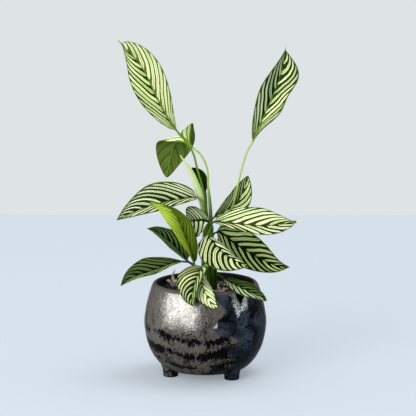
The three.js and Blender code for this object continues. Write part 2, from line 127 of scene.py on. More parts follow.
# Each leaf: the hole of its stalk, the way that its stalk and then its midrib run, its two halves, where its
# right half points from base to tip, how far they fold up in degrees at base and tip, its edge's waves
# (height and start), how much its side veins bend, the width of its dark margin, its midrib's colour and half
# width, its stalk's colour, and its drip tip's share of the length and half width at its root.
Leaf = namedtuple(
    "Leaf", "hole stalk midrib left right sideways fold waves bend margin rib stalk_colour drip",
    defaults=[(0, 0)])

LEAVES = {
    "leaf_tall_left": Leaf(
        (2, -5), [(2.5, -5, 170), (3.2, -4, 224), (-4, -5, 268), (-11, -7, 293), (-17, -9, 317),
            (-27, -11, 333)],
        [(-39, -12, 348), (-54, -11, 371), (-68, -8, 397), (-81, -2, 424), (-94, 4, 444), (-121, 12, 472)],
        Half(26, 0.52, (0.72, 1.15), 11, 0.38, 0.38, "CBD998", "1A2B02"),
        Half(26, 0.58, (0.75, 0.5), 9, 0.42, 0.38, "CFD6A6", "465915"),
        [(0.84, -0.05, 0.54), (0.8, 0, 0.6)], (22, 12), (0.8, 0), 1.3, 0.9, ("587820", 1.9), "5E7E24",
        (0.04, 0.9)),
    "leaf_folded": Leaf(
        (3.5, -0.5), [(5, 1, 170), (6.5, 2, 223), (4, 3, 267), (3, 5, 291), (-1, 6, 303), (-8, 8, 314)],
        [(-16, 10, 320), (-25, 17, 329), (-34, 28, 336), (-39, 39, 333), (-44, 49, 320), (-49, 54, 301),
            (-55, 50, 272)],
        Half(25, 0.56, (1.6, 0.8), 6, 0.3, 0.3, "E2E6C2", "698607"),
        Half(31, 0.45, (2.8, 0.75), 6, 0.3, 0.34, "B4C288", "435D04"),
        [(0.7, 0.1, 0.7), (0.74, 0.08, 0.67), (0.85, 0.1, 0.5), (0.97, 0.1, 0.15), (1, 0.05, 0.05),
            (1, 0, 0)], (4, 0), (0.4, 1), 1.2, 1.4, ("5C8020", 1.5), "9CB45E"),
    "leaf_tall_right": Leaf(
        (12.5, 2), [(13.5, 5, 150), (19, 13, 185), (28, 19, 215), (39, 24, 237), (48, 28, 275),
            (59, 31, 313)],
        [(66, 32, 325), (74, 34, 344), (85, 38, 368), (96, 44, 393), (107, 50, 424), (114, 60, 463)],
        Half(25, 0.57, (0.72, 0.95), 8, 0.42, 0.5, "AFBE92", "102003"),
        Half(26.5, 0.63, (0.75, 0.85), 10, 0.38, 0.48, "D7E1AB", "1D2F02", 0.15),
        [(0.91, -0.21, -0.36), (0.92, 0.03, -0.39), (0.76, 0.59, -0.28)], (28, 30), (0.7, 2), 1.3, 1.8,
        ("6A8A1C", 1.7), "A9BC6C", (0.07, 0.7)),
    "leaf_upright_back": Leaf(
        (4, 9.5), [(6, 12, 160), (7, 15, 198), (8, 18, 213)],
        [(12, 21, 220), (24, 30, 225), (36, 42, 230), (46, 51, 237), (55, 62, 254), (61, 72, 271)],
        Half(18, 0.5, (0.8, 0.8), 7, 0.55, 0.52, "9DB07A", "0D1C04"),
        Half(18, 0.5, (0.7, 0.9), 5, 0.5, 0.42, "D6E2A8", "203604"),
        [(0.53, -0.2, -0.82), (0.74, -0.13, -0.66), (0.96, -0.06, -0.28)], (32, 24), (0.8, 0), 1.2, 1.2,
        ("3E5A18", 1.1), "5A7A2C"),
    "leaf_big_right": Leaf(
        (9.5, -4), [(10, -5, 170), (7.4, -5.4, 200), (7.4, -6.4, 211)],
        [(10, -8, 218), (30, -16, 219), (53, -22, 218), (85, -29, 217.5), (117, -32, 222), (136, -32, 225.5)],
        Half(27, 0.5, (0.7, 0.95), 7, 0.56, 0.47, "D4E2AB", "28370A"),
        Half(25, 0.66, (0.5, 0.6), 8, 0.3, 0.47, "D8DFB1", "0D1D02"),
        [(-0.2, -0.74, -0.62), (0.09, -0.77, -0.63)], (26, 18), (0.8, 1), 1.2, 1, ("2C4209", 1.9), "4E6C20",
        (0.09, 2.6)),
    "leaf_lower_right": Leaf(
        (15.5, -3), [(15, -1, 150), (12.5, 1, 180), (11, 1, 191), (11, 0, 199)],
        [(15, -2, 203), (24, -4, 202), (38, -5, 190.5), (71, -6, 170), (98, -10, 158), (118, -15, 156)],
        Half(26, 0.37, (0.6, 1), 8, 0.34, 0.44, "98A96E", "0A1A02"),
        Half(25, 0.37, (0.55, 0.9), 9, 0.34, 0.52, "9CB06C", "020B02"),
        [(-0.37, -0.31, -0.88), (-0.5, -0.2, -0.84), (-0.07, 0, -1)], (18, 14), (0.8, 2), 1.15, 1.4,
        ("0A1802", 1.7), "3E5A18"),
    "leaf_front": Leaf(
        (9, -11), [(9.5, -14, 170), (10, -21, 206), (8, -30, 215)],
        [(4, -36, 206), (12, -49, 198), (21, -60, 190), (32, -71, 182.5), (45, -80, 177), (60, -88, 172)],
        Half(22, 0.3, (0.35, 0.9), 6, 0.2, 0.52, "E0ECB8", "091602"),
        Half(29, 0.38, (0.5, 0.9), 9, 0.3, 0.52, "BEC792", "081802"),
        [(-0.86, -0.51, -0.05), (-0.71, -0.65, -0.27), (-0.46, -0.8, -0.39)], (-29, -26), (0.8, 0), 1.5, 1.3,
        ("1C2E08", 1.2), "3E5A18"),
    "leaf_front_low_left": Leaf(
        (0, -14), [(2, -15, 146), (2.5, -21, 161)],
        [(-2, -33, 161), (-7, -48, 157), (-12, -66, 149), (-16, -80, 138), (-18, -88, 128), (-17, -92, 117)],
        Half(27, 0.48, (0.7, 0.7), 6, 0.48, 0.5, "BCCC90", "1C2E06"),
        Half(27, 0.48, (0.6, 0.8), 8, 0.5, 0.52, "BBC58C", "091B02"),
        [(-0.9, 0.36, -0.23), (-0.67, 0.66, -0.32)], (30, 26), (0.8, 1), 1.3, 1.5, ("6C8A30", 1), "5A7828"),
    "leaf_front_low_right": Leaf(
        (5, -15), [(5.5, -16, 138), (4, -24, 151)],
        [(-3, -38, 157), (-5, -54, 152), (-4, -70, 145), (-2, -84, 138), (4, -92, 129), (10, -97, 121),
            (17, -100, 115)],
        Half(15, 0.5, (0.7, 0.7), 7, 0.3, 0.2, "E6F0BC", "2C4609"),
        Half(16, 0.5, (0.6, 0.8), 9, 0.3, 0.28, "E6F0BC", "182A04"),
        [(-0.92, 0.04, 0.39), (-0.99, -0.09, -0.13), (-0.7, -0.24, -0.68)], (-31, -28), (0.8, 2), 1.4, 1.1,
        ("4E6C1C", 0.9), "4E6C20"),
    "leaf_low_left": Leaf(
        (-8.5, -6.5), [(-10, -9, 145), (-17, -15, 160)],
        [(-29, -20, 165), (-48, -26, 163), (-75, -34, 154), (-101, -39, 146), (-118, -40, 135)],
        Half(19, 0.5, (0.8, 0.9), 6, 0.4, 0.5, "93AC66", "122204"),
        Half(21, 0.55, (1.1, 0.9), 8, 0.45, 0.5, "56653A", "071602"),
        [(-0.33, 0.81, 0.49), (-0.34, 0.82, 0.46)], (32, 28), (0.8, 0), 1.2, 1.3, ("102004", 1.2), "2E4810"),
    "leaf_mid_left": Leaf(
        (-5.5, 1.5), [(-8, 2, 142), (-14, 3, 152)],
        [(-25, 5, 161), (-43, 10, 180), (-57, 13, 192), (-70, 16, 201), (-82, 18, 205)],
        Half(20, 0.45, (0.7, 1), 7, 0.5, 0.46, "5E7A48", "264008"),
        Half(21, 0.42, (0.6, 1), 7, 0.55, 0.46, "51653B", "030F02"),
        [(0.49, 0.84, 0.23), (0.33, 0.87, 0.37)], (24, 20), (0.8, 1), 1.2, 1.6, ("142608", 1), "2E4810"),
    "leaf_new": Leaf(
        (-4, -10), [(-5, -12, 137), (-10, -20, 150)],
        [(-15, -27, 162), (-22, -37, 187), (-30, -46, 210), (-37, -53, 230), (-47, -59, 246), (-60, -63, 255),
            (-77, -66, 259)],
        Half(19, 0.55, (0.65, 0.85), 9, 0.5, 0.4, "B0C850", "7A940E"),
        Half(17, 0.5, (0.65, 0.95), 8, 0.5, 0.44, "5E7120", "324505"),
        [(0.56, 0.67, 0.5), (0.86, 0.26, 0.44), (0.26, -0.75, 0.61)], (40, 40), (0.5, 2), 1.2, 0.5,
        ("4E6A10", 1.3), "6A841E"),
    "leaf_arching_left": Leaf(
        (-4, -4.5), [(-4, -4.5, 170), (-2, -4, 215), (-2.5, -4.5, 238), (-5, -6, 248)],
        [(-10, -8, 253), (-35, -11, 252), (-65, -13, 246), (-89, -12, 238), (-106, -10, 231),
            (-124, -8, 222)],
        Half(33, 0.42, (0.75, 0.95), 7, 0.38, 0.54, "D9E4AE", "081802"),
        Half(30, 0.44, (0.75, 0.95), 9, 0.52, 0.5, "C7D2A6", "112202"),
        [(-0.08, 0.8, 0.6), (-0.2, 0.78, 0.59)], (34, 28), (0.8, 0), 1.25, 2.6, ("1C2E06", 1.3), "76943A"),
    # Its wide near-black midrib band is painted shadow under the fold of its upper half; its right half's
    # grey pale is a painted sheen
    "leaf_centre": Leaf(
        (4.5, -9.5), [(5, -11, 170), (9, -14, 200), (10, -16, 214)],
        [(5, -18, 221), (-2, -21, 224), (-11, -26, 225), (-19, -34, 225), (-24, -44, 224)],
        Half(25, 0.45, (0.75, 0.6), 5, 0.02, 0.38, "DFEAB8", "162C02"),
        Half(22, 0.5, (0.55, 0.5), 8, 0.36, 0.44, "A7B58D", "132507"),
        [(0.2, 0.5, 0.8), (-0.11, 0.18, 0.98), (0, -0.1, 1)], (-24, -20), (0.8, 1), 1.3, 1.2, ("142406", 2.2),
        "3E5A18"),
    "leaf_over_rim": Leaf(
        (13.5, -7.5), [(15, -10, 136), (18, -15, 144)],
        [(25, -24, 142), (37, -40, 138), (50, -56, 135), (62, -66, 131), (74, -72, 127), (85, -76, 121)],
        Half(16, 0.52, (0.5, 0.7), 7, 0.4, 0.5, "4E6A2C", "081004"),
        Half(20, 0.62, (0.6, 0.7), 7, 0.36, 0.42, "B4C49A", "071902"),
        [(-0.81, -0.57, -0.15), (-0.72, -0.67, -0.17), (-0.42, -0.89, -0.19)], (12, 10), (0.8, 2), 1.3, 1.2,
        ("10200A", 1.2), "3A5618"),
    "leaf_small_back": Leaf(
        (0.5, 4.5), [(1.5, 7, 170), (2, 11, 230)],
        [(0, 13, 258), (-4, 15, 270), (-9, 16, 282), (-19, 17, 292)],
        Half(9, 0.5, (0.8, 0.8), 5, 0.4, 0.5, "1E300C", "0A1602"),
        Half(9, 0.5, (0.8, 0.8), 5, 0.4, 0.5, "24380E", "0C1804"),
        [(0.9, 0.2, 0.4), (0.8, 0.2, 0.6)], (20, 16), (0.3, 0), 1.2, 1.2, ("0C1A02", 1), "3A5618"),
}

# Pieces that are a rod of changing thickness: the hole, how much they are squeezed front to back, the way,
# the radius along it, and their finish: its name, its colours at foot and tip, and its streaks' colour.
RODS = {
    "spear": dict(
        hole=(-1, -0.5), squeeze=0.55,
        path=[(-1, 0, 170), (-1, 0, 228), (-5.5, 0, 251), (-11, 0, 267), (-19, 1, 287), (-27, 2, 300),
              (-35, 3, 312)],
        radii=[1.75, 1.8, 1.9, 2.6, 4, 5, 3.6, 0.5],
        finish=("rolled leaf", "5E7A2C", "ABBC82", "8FAA58"),
    ),
    "sheath": dict(
        hole=(7.3, 4.5), squeeze=0.7,
        path=[(7.3, 5, 170), (8.3, 6.5, 222), (6.8, 7, 250), (4.8, 7.5, 268)],
        radii=[2.2, 2.4, 2.6, 2, 0.5],
        finish=("sheath", "34471E", "55673C", "2A3B18"),
    ),
}
SEAM_DEPTH = 0.12  # how deep the groove of a rolled leaf is, as a share of its radius

# Dried stalk remains: the hole of the root, and strands, each as its places from the root, and a radius.
DRY_STUBS = {
    "dry_stub_left": ((-45, 18), [
        ([(0, 0, 0), (1, 1, 8), (-1, 2, 15), (2, 3, 24)], 2.2),
        ([(0, 0, 2), (-5, -2, 7), (-9, -1, 9)], 1.8),
        ([(1, 1, 6), (6, -2, 10), (8, -4, 17)], 1.6),
        ([(0, 1, 3), (7, -1, 3.5), (13, -4, 3)], 1.7),
    ]),
    "dry_stub_right": ((22, -36), [
        ([(0, 0, 0), (-1, 0, 5), (-4, 1, 9), (-4, 2, 13)], 2),
        ([(0, 0, 2), (4, 1, 6), (9, 0, 8)], 1.8),
        ([(-1, 0, 3), (-7, -1, 4), (-11, 1, 5)], 1.6),
    ]),
}

# Stage: the point that the camera looks at, and each light's offset from it in metres, its sides and colour.
CAMERA_TARGET = [3.78, 0, 237.48]
LIGHTS = {
    "key": ((-2.75, -4.2, 1.3), (3.6, 3.6), (1, 0.98, 0.94)),
    "top": ((1.3, 0.4, 4.9), (2.7, 2.7), (1, 1, 1)),
    "sheen": ((-2.55, -2, 1), (4.4, 2), (0.81, 0.91, 1)),
}


def tint(code):
    """The linear colour of a six-digit hex code."""
    shown = np.array([int(code[i:i + 2], 16) for i in (0, 2, 4)]) / 255
    linear = np.where(shown <= 0.04045, shown / 12.92, ((shown + 0.055) / 1.055) ** 2.4)
    return tuple(float(part) for part in linear)


def rgba(value):
    """A hex code or three numbers as a colour with its alpha. A wire or a single number stays as it is."""
    if isinstance(value, (Wire, int, float)):
        return value
    return (*(tint(value) if isinstance(value, str) else value), 1)


def mix(low, high, share):
    """low at share 0, high at share 1, and evenly between."""
    return low + (high - low) * share


def eased(low, high, value):
    """0 below low, 1 above high, and an even S between."""
    share = np.clip((value - low) / (high - low), 0, 1)
    return share * share * (3 - 2 * share)


def unit(vectors):
    """The vectors at length 1."""
    return vectors / np.linalg.norm(vectors, axis=-1, keepdims=True)


def square_to(heading, direction):
    """The directions made square to the headings."""
    return unit(direction - (direction * heading).sum(-1, keepdims=True) * heading)


def between(marks, rows, at):
    """The rows that are given at the marks, read at places between them."""
    return np.stack([np.interp(at, marks, column) for column in np.array(rows, float).T], -1)


def side_vein_lane(along, share, gain, bend):
    """Where on the midrib, from 0 to 1, the side vein through a point starts: (u - s) / (1 - s u^6), with
    s = gain * share^bend at this share of the way from midrib to margin. It takes arrays and wires."""
    gained = gain * share ** bend
    return (along - gained) / (1 - gained * along ** 6)


class Line:
    """A smooth line through points: the centripetal Catmull-Rom curve, sampled finely."""

    def __init__(self, points, per_piece=80):
        points = np.array(points, float)
        padded = np.vstack([2 * points[0] - points[1], points, 2 * points[-1] - points[-2]])
        a, b, c, d = (padded[i:len(points) - 1 + i, None] for i in range(4))
        before, here, after = (np.sqrt(np.linalg.norm(q - p, axis=-1, keepdims=True))
                               for p, q in ((a, b), (b, c), (c, d)))
        slope_b = ((b - a) / before - (c - a) / (before + here) + (c - b) / here) * here
        slope_c = ((c - b) / here - (d - b) / (here + after) + (d - c) / after) * here
        t = np.linspace(0, 1, per_piece, endpoint=False)[None, :, None]
        square = -3 * b + 3 * c - 2 * slope_b - slope_c
        cube = 2 * b - 2 * c + slope_b + slope_c
        curve = b + slope_b * t + square * t ** 2 + cube * t ** 3
        self.places = np.vstack([curve.reshape(-1, points.shape[1]), points[-1]])
        steps = np.linalg.norm(np.diff(self.places, axis=0), axis=1)
        self.lengths = np.concatenate([[0], np.cumsum(steps)])
        self.marks = self.lengths[::per_piece]

    def at(self, lengths):
        """Places and headings at these lengths along the line."""
        headings = np.gradient(self.places, self.lengths, axis=0)
        return between(self.lengths, self.places, lengths), unit(between(self.lengths, headings, lengths))


def rooted(hole, path):
    """The way of a stem from deep in the soil straight up its hole, and on along the path."""
    return [(*hole, STALK_FOOT_Z), (*hole, SOIL_Z + STRAIGHT_RISE), *path]


def ring_turns(count):
    """The angles of a ring's points, from its left edge over its top and back below."""
    return np.pi - 2 * np.pi * (np.arange(count) + 0.5) / count


def ring_sum(right, up, a, b):
    """right * a + up * b at each point of each ring."""
    return right[:, None] * a[..., None] + up[:, None] * b[..., None]


def circles(places, right, up, radius, turn):
    """Rings round the places: place + radius * (right cos t + up sin t)."""
    return places[:, None] + radius * ring_sum(right, up, np.cos(turn), np.sin(turn))


def ring_faces(rings, around):
    """Quads between each ring of points and the next."""
    j, k = np.meshgrid(np.arange(rings - 1), np.arange(around), indexing="ij")
    after = (k + 1) % around
    corners = [j * around + k, j * around + after, (j + 1) * around + after, (j + 1) * around + k]
    return np.stack(corners, -1).reshape(-1, 4)


def skin_faces(rings, around):
    """The faces of a closed body of rings, with its two ends closed by strips across them."""
    k = np.arange(around // 2 - 1)
    strip = np.stack([k, k + 1, around - 2 - k, around - 1 - k], -1)
    return np.vstack([ring_faces(rings, around), strip[:, ::-1], strip + (rings - 1) * around])


def turned(radii, heights, sides):
    """Points and faces of an outline carried round +Z, (r cos t, r sin t, h), closed at both ends."""
    turn = 2 * np.pi * np.arange(sides) / sides
    rings = np.stack([np.outer(radii, np.cos(turn)), np.outer(radii, np.sin(turn)),
                      np.repeat(np.array(heights, float)[:, None], sides, 1)], -1)
    poles = [[0, 0, heights[0]], [0, 0, heights[-1]]]
    k = np.arange(sides)
    after = (k + 1) % sides
    count = len(radii) * sides
    first = np.stack([after, k, np.full(sides, count)], -1)
    last = np.stack([k + count - sides, after + count - sides, np.full(sides, count + 1)], -1)
    faces = ring_faces(len(radii), sides).tolist() + first.tolist() + last.tolist()
    return np.vstack([rings.reshape(-1, 3), poles]), faces


def level(radii, height):
    """Points of an outline at these radii, all at one height."""
    return np.stack([radii, np.full(len(radii), float(height))], -1)


def make_object(name, points, faces, material, attributes=None):
    """A smooth mesh object from points in millimetres from the pot's axis, with vectors at its points."""
    mesh = bpy.data.meshes.new(name)
    faces = faces if isinstance(faces, list) else faces.tolist()
    mesh.from_pydata(((points + AXIS) * MM).tolist(), [], faces)
    for key, values in (attributes or {}).items():
        made = mesh.attributes.new(key, "FLOAT_VECTOR", "POINT")
        made.data.foreach_set("vector", np.ascontiguousarray(values, dtype=np.float32).ravel())
    mesh.polygons.foreach_set("use_smooth", np.ones(len(mesh.polygons), bool))
    mesh.materials.append(material)
    mesh.validate()
    piece = bpy.data.objects.new(name, mesh)
    bpy.context.scene.collection.objects.link(piece)
    return piece


def keep(piece, slot, *nodes):
    """The piece rides with the plant and stands for CAD nodes, which are hidden. The slot is not used."""
    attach(piece, "root")
    if nodes:
        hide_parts(*nodes)


def operation(kind, swapped=False):
    """A method of a wire that adds a Math node of this kind."""
    def method(self, *others):
        values = (self, *others)
        sockets = dict(enumerate(values[::-1] if swapped else values))
        return self.finish.add("ShaderNodeMath", {"operation": kind}, sockets)
    return method


class Wire:
    """A shader node's output, used in sums as if it were a number."""

    def __init__(self, finish, socket):
        self.finish = finish
        self.socket = socket

    __add__ = __radd__ = operation("ADD")
    __sub__ = operation("SUBTRACT")
    __rsub__ = operation("SUBTRACT", swapped=True)
    __mul__ = __rmul__ = operation("MULTIPLY")
    __truediv__ = operation("DIVIDE")
    __pow__ = operation("POWER")
    __abs__ = operation("ABSOLUTE")
    floor = operation("FLOOR")
    root = operation("SQRT")
    sine = operation("SINE")
    cosine = operation("COSINE")
    exponent = operation("EXPONENT")
    at_least = operation("MAXIMUM")

    def step(self, low, high):
        """0 below low, 1 above high, and an even S between."""
        return self.finish.add("ShaderNodeMapRange", {"interpolation_type": "SMOOTHSTEP"},
                               {"Value": self, "From Min": low, "From Max": high})

    def fade(self, low, high):
        """1 below low, 0 above high, and an even S between."""
        return 1 - self.step(low, high)


class Finish:
    """A material and its nodes."""

    def __init__(self, name):
        self.material = bpy.data.materials.new(name)
        self.material.use_nodes = True
        self.tree = self.material.node_tree
        self.tree.nodes.clear()

    def add(self, kind, settings=None, inputs=None, output=0):
        """An output of a new node of this type: its settings first, then its sockets' values or links."""
        node = self.tree.nodes.new(kind)
        for key, value in (settings or {}).items():
            setattr(node, key, value)
        for key, value in (inputs or {}).items():
            if isinstance(key, int):
                socket = node.inputs[key]
            else:
                socket = next(s for s in node.inputs if key in (s.identifier, s.name))
            if isinstance(value, Wire):
                self.tree.links.new(value.socket, socket)
            else:
                socket.default_value = value
        return Wire(self, node.outputs[output]) if node.outputs else node

    def blend(self, share, first, second, way="MIX"):
        """One colour mixed with another."""
        sockets = {"Factor_Float": share, "A_Color": rgba(first), "B_Color": rgba(second)}
        return self.add("ShaderNodeMix", {"data_type": "RGBA", "blend_type": way}, sockets, output=2)

    def parts(self, vector):
        """The three numbers of a vector."""
        node = self.add("ShaderNodeSeparateXYZ", {}, {"Vector": vector}).socket.node
        return [Wire(self, socket) for socket in node.outputs]

    def vector(self, *values):
        """A vector of three numbers."""
        return self.add("ShaderNodeCombineXYZ", {}, dict(enumerate(values)))

    def attribute(self, name):
        """The three numbers that a mesh holds at each point."""
        return self.parts(self.add("ShaderNodeAttribute", {"attribute_name": name}, output="Vector"))

    def place(self):
        """Metres in the object's own frame."""
        return self.add("ShaderNodeTexCoord", output="Object")

    def noise(self, at, scale, detail=2, roughness=0.5):
        """Cloudy noise, mostly between 0.3 and 0.7."""
        sockets = {"Vector": at, "Scale": scale, "Detail": detail, "Roughness": roughness}
        return self.add("ShaderNodeTexNoise", {}, sockets)

    def cells(self, at, scale):
        """The distance to the nearest border between random cells."""
        sockets = {"Vector": at, "Scale": scale}
        return self.add("ShaderNodeTexVoronoi", {"feature": "DISTANCE_TO_EDGE"}, sockets)

    def random(self, value):
        """A number from 0 to 1 that is the same for the same whole number."""
        return self.add("ShaderNodeTexWhiteNoise", {"noise_dimensions": "1D"}, {"W": value})

    def bump(self, height, strength, distance_mm):
        """The normal of a surface with this relief."""
        sockets = {"Height": height, "Strength": strength, "Distance": distance_mm * MM}
        return self.add("ShaderNodeBump", {}, sockets)

    def shine(self, **sockets):
        """The surface itself, from its named sockets, and the finished material."""
        named = {key.replace("_", " "): rgba(value) for key, value in sockets.items()}
        surface = self.add("ShaderNodeBsdfPrincipled", {}, named)
        self.add("ShaderNodeOutputMaterial", {}, {"Surface": surface})
        return self.material


def half_width(half, drip, u):
    """Width of a half at share u: W sin(pi u^p)^lean, whose top is at the widest place, times
    1 - waist * cos(4 pi (u - where the waist is)), then the drip tip, which narrows evenly."""
    drip, root = drip
    power = math.log(0.5) / math.log(half.widest)
    along = np.minimum(u / (1 - drip), 1)
    hump = half.width * np.maximum(np.sin(np.pi * along ** power), 0) ** mix(*half.lean, along)
    hump = hump * (1 - half.waist * np.cos(4 * np.pi * (along - WAIST_AT)))
    tail = root * np.minimum((1 - u) / max(drip, FLAT_BY), 1)
    return np.maximum(np.maximum(hump, tail), mix(STALK_RADIUS, TIP_HALF_WIDTH, np.minimum(4 * u, 1)))


def leaf_surface(leaf, settings):
    """The rings of one leaf: circles along its stalk, then the blade's upper and lower faces side by side.
    With each point comes where it lies on the leaf, and how far it is from the midrib and the margin. It is
    midrib + right v W cos(fold) + up (|v| W sin(fold) + bulge 4 W |v| (1 - |v|) + edge wave + puckers)."""
    way = rooted(leaf.hole, leaf.stalk + leaf.midrib)
    line = Line(way)
    start, end = line.marks[len(way) - len(leaf.midrib)], line.marks[-1]

    even = np.linspace(0, 1, BLADE_STATIONS)
    u = 0.6 * even + 0.4 * (0.5 - 0.5 * np.cos(np.pi * even))
    places, headings = line.at(mix(start, end, u))
    right = square_to(headings, between(np.linspace(0, 1, len(leaf.sideways)), leaf.sideways, u))
    up = np.cross(right, headings)

    spread = np.linspace(-1, 1, ACROSS)
    v = (np.sign(spread) * np.abs(spread) ** 1.5)[None, :]
    share = np.abs(v)
    side = v / np.sqrt(v ** 2 + 0.03 ** 2)
    u = u[:, None]
    width = np.where(v > 0, half_width(leaf.right, leaf.drip, u), half_width(leaf.left, leaf.drip, u))
    fold = np.radians(mix(*leaf.fold, u)) * np.minimum(np.minimum(u, 1 - u) / FLAT_BY, 1)
    height, phase = leaf.waves
    wave = height * v ** 2 * np.sin(np.pi * u) * np.sin(2 * np.pi * EDGE_WAVES * u + phase + np.sign(v))
    lane = side_vein_lane(u, share, np.where(v > 0, leaf.right.gain, leaf.left.gain), leaf.bend)
    veins = lane * np.where(v > 0, leaf.right.veins, leaf.left.veins) + 0.5 * (v > 0)
    pucker = settings.pucker / MM * np.cos(2 * np.pi * veins) * np.sin(np.pi * share) * np.sin(np.pi * u)
    lift = share * width * np.sin(fold) + 4 * BLADE_BULGE * width * share * (1 - share) + wave + pucker
    middle = places[:, None] + ring_sum(right, up, v * width * np.cos(fold), lift)
    face = ring_sum(right, up, -side * np.sin(fold), np.cos(fold))
    half = settings.thickness / MM / 2 * mix(1, 0.6, share ** 4)
    rib = (1 - u) * np.exp(-(v * width) ** 2)
    upper = middle + face * (half + MIDRIB_RISE * rib)[..., None]
    lower = middle - face * (half + MIDRIB_DEPTH * rib)[..., None]
    flat = np.concatenate([upper, lower[:, ::-1]], 1)

    turn = ring_turns(2 * ACROSS)
    flatness = eased(0, TUBE_BY, u)[..., None]
    blade = circles(places, right, up, STALK_RADIUS, turn) * (1 - flatness) + flat * flatness

    lengths = np.linspace(0, start, STALK_STATIONS, endpoint=False)
    stalk_places, stalk_headings = line.at(lengths)
    sideways = right[0]
    frames = []
    for heading in stalk_headings[::-1]:
        sideways = square_to(heading, sideways)
        frames.append(sideways)
    stalk_right = np.array(frames[::-1])
    stalk_up = np.cross(stalk_right, stalk_headings)
    radius = mix(STALK_FOOT_RADIUS, STALK_RADIUS, lengths / start)[:, None, None]
    stalk = circles(stalk_places, stalk_right, stalk_up, radius, turn)

    both = np.concatenate([v, v[:, ::-1]], 1) * np.ones_like(u)
    upwards = np.sign(ACROSS - 0.5 - np.arange(2 * ACROSS))
    on_blade = np.stack(np.broadcast_arrays(u, both, upwards), -1)
    before = (lengths - start)[:, None] / 100
    on_stalk = np.stack(np.broadcast_arrays(before, np.cos(turn), np.sign(np.sin(turn))), -1)
    width = np.concatenate([width, width[:, ::-1]], 1)
    reach = np.stack([np.abs(both) * width, (1 - np.abs(both)) * width, width], -1)
    told = np.concatenate([on_stalk, on_blade])
    return np.concatenate([stalk, blade]), told, np.concatenate([np.zeros_like(on_stalk), reach])


def leaf_finish(name, leaf, settings):
    """Pale stripes between dark lines along the side veins, a dark margin, a green midrib that darkens
    outwards, and a duller underside with faint veins. The stalk is plain, with streaks."""
    finish = Finish(name)
    along, across, face = finish.attribute("leaf")
    from_rib, from_margin, _ = finish.attribute("reach")
    place = finish.place()
    share = abs(across)
    on_right = across.step(-0.001, 0.001)
    seed = sum(ord(letter) for letter in name) % 17

    def on_half(key):
        low, high = getattr(leaf.left, key), getattr(leaf.right, key)
        return on_right * (high - low) + low

    waver = finish.noise(place, 55) - 0.5
    lane = side_vein_lane(along.at_least(0), share, on_half("gain"), leaf.bend)
    phase = lane * on_half("veins") + on_right * 0.5 + waver * 0.5 + seed
    cell = phase.floor()
    chance = finish.random(cell + on_right * 41 + seed)
    other_chance = finish.random(cell * 3 + on_right * 17 + seed + 0.5)
    within = phase - cell
    from_line = 1 - abs(within * 2 - 1)
    pinch = (from_rib * -0.55).exponent() * 0.45 + (from_margin * -0.6).exponent() * 0.5
    dark_share = on_half("dark_share") * (chance * 0.6 + 0.7) + pinch
    stripe = from_line.step(dark_share - 0.12, dark_share + 0.12)
    middle_line = (1 - from_line).fade(0.06, 0.2) * other_chance.step(0.4, 0.6) * from_margin.step(0.3, 2.5)
    fibres = finish.noise(finish.vector(phase * 5, share * 1.5, seed), 1, 3, 0.6)
    stripe = stripe * (1 - middle_line * 0.75) * (1 - fibres.step(0.5, 0.8) * 0.25)

    # Each half's pale and dark colours hold painted shade on shaded halves and a painted grey sheen on halves
    # that mirror the sky
    pale = finish.blend(on_right, leaf.left.pale, leaf.right.pale)
    dark = finish.blend(on_right, leaf.left.dark, leaf.right.dark)
    patches = finish.noise(place, 38)
    pale = finish.blend(patches.step(0.35, 0.75) * 0.3, pale, "B9CB7A", "MULTIPLY")
    colour = finish.blend(stripe, dark, pale)
    margin = (from_margin + waver).fade(leaf.margin * 0.6, leaf.margin * 1.3)
    colour = finish.blend(margin, colour, finish.blend(0.3, dark, "6A8A22"))
    rib_colour, rib_half = leaf.rib
    rib_half = (1 - along).at_least(0.3) * rib_half
    rib = from_rib.fade(rib_half * 0.75, rib_half * 1.25)
    edge = from_rib.step(rib_half * 0.35, rib_half * 0.9)
    colour = finish.blend(rib, colour, finish.blend(edge * 0.6, rib_colour, dark))
    drip, _ = leaf.drip
    if drip > 0.05:
        colour = finish.blend(along.step(1 - drip, 1.01 - drip * 0.7), colour, "C2D08C")

    below = finish.blend(stripe * 0.35, settings.underside_colour, "6C7F40")
    below = finish.blend(rib, below, "627E38")
    is_under = face.fade(-0.5, 0.5)
    colour = finish.blend(is_under, colour, below)
    stalk = finish.blend(along.step(-1.3, -0.5), settings.stalk_foot_colour, leaf.stalk_colour)
    streaks = finish.noise(finish.vector(along * 14, across * 3, seed), 1, 3, 0.6)
    stalk = finish.blend(streaks.step(0.45, 0.7) * 0.5, stalk, settings.stalk_foot_colour)
    colour = finish.blend(along.step(0, 0.02), stalk, colour)

    grain = finish.noise(place, 1400)
    pillow = (within * math.pi).sine()
    normal = finish.bump(pillow * 0.8 + grain * 0.12, 0.35, 0.35)
    return finish.shine(Base_Color=colour, Roughness=grain * 0.15 + is_under * 0.2 + 0.34, Normal=normal,
                        Specular_IOR_Level=settings.gloss)


def rod_rings(path, radii, squeeze, stations, around, groove=0):
    """Circles along a path, whose radius runs through the given ones, and where each point lies. Above the
    soil they are squeezed front to back. The groove winds round, as the margin of a rolled leaf does."""
    line = Line(path)
    share = np.linspace(0, 1, stations)
    places, headings = line.at(share * line.lengths[-1])
    radius = np.interp(share, np.linspace(0, 1, len(radii)), radii)[:, None]
    right = square_to(headings, np.array([[1, 0.1, 0]]))
    up = np.cross(right, headings)
    depth = np.where(places[:, 2] < SOIL_Z + SOIL_MOUND + 2, 1, squeeze)[:, None]
    turn = ring_turns(around)
    seam = (turn + 1.2 + 2.2 * share[:, None] + np.pi) % (2 * np.pi) - np.pi
    fold = np.exp(-(seam / 0.22) ** 2)
    lip = 0.5 * np.exp(-((seam - 0.5) / 0.4) ** 2)
    radius = radius * (1 - groove * fold + groove * lip)
    told = np.stack(np.broadcast_arrays(share[:, None], turn / np.pi, seam), -1)
    return circles(places, right, up * depth, radius[..., None], turn), told


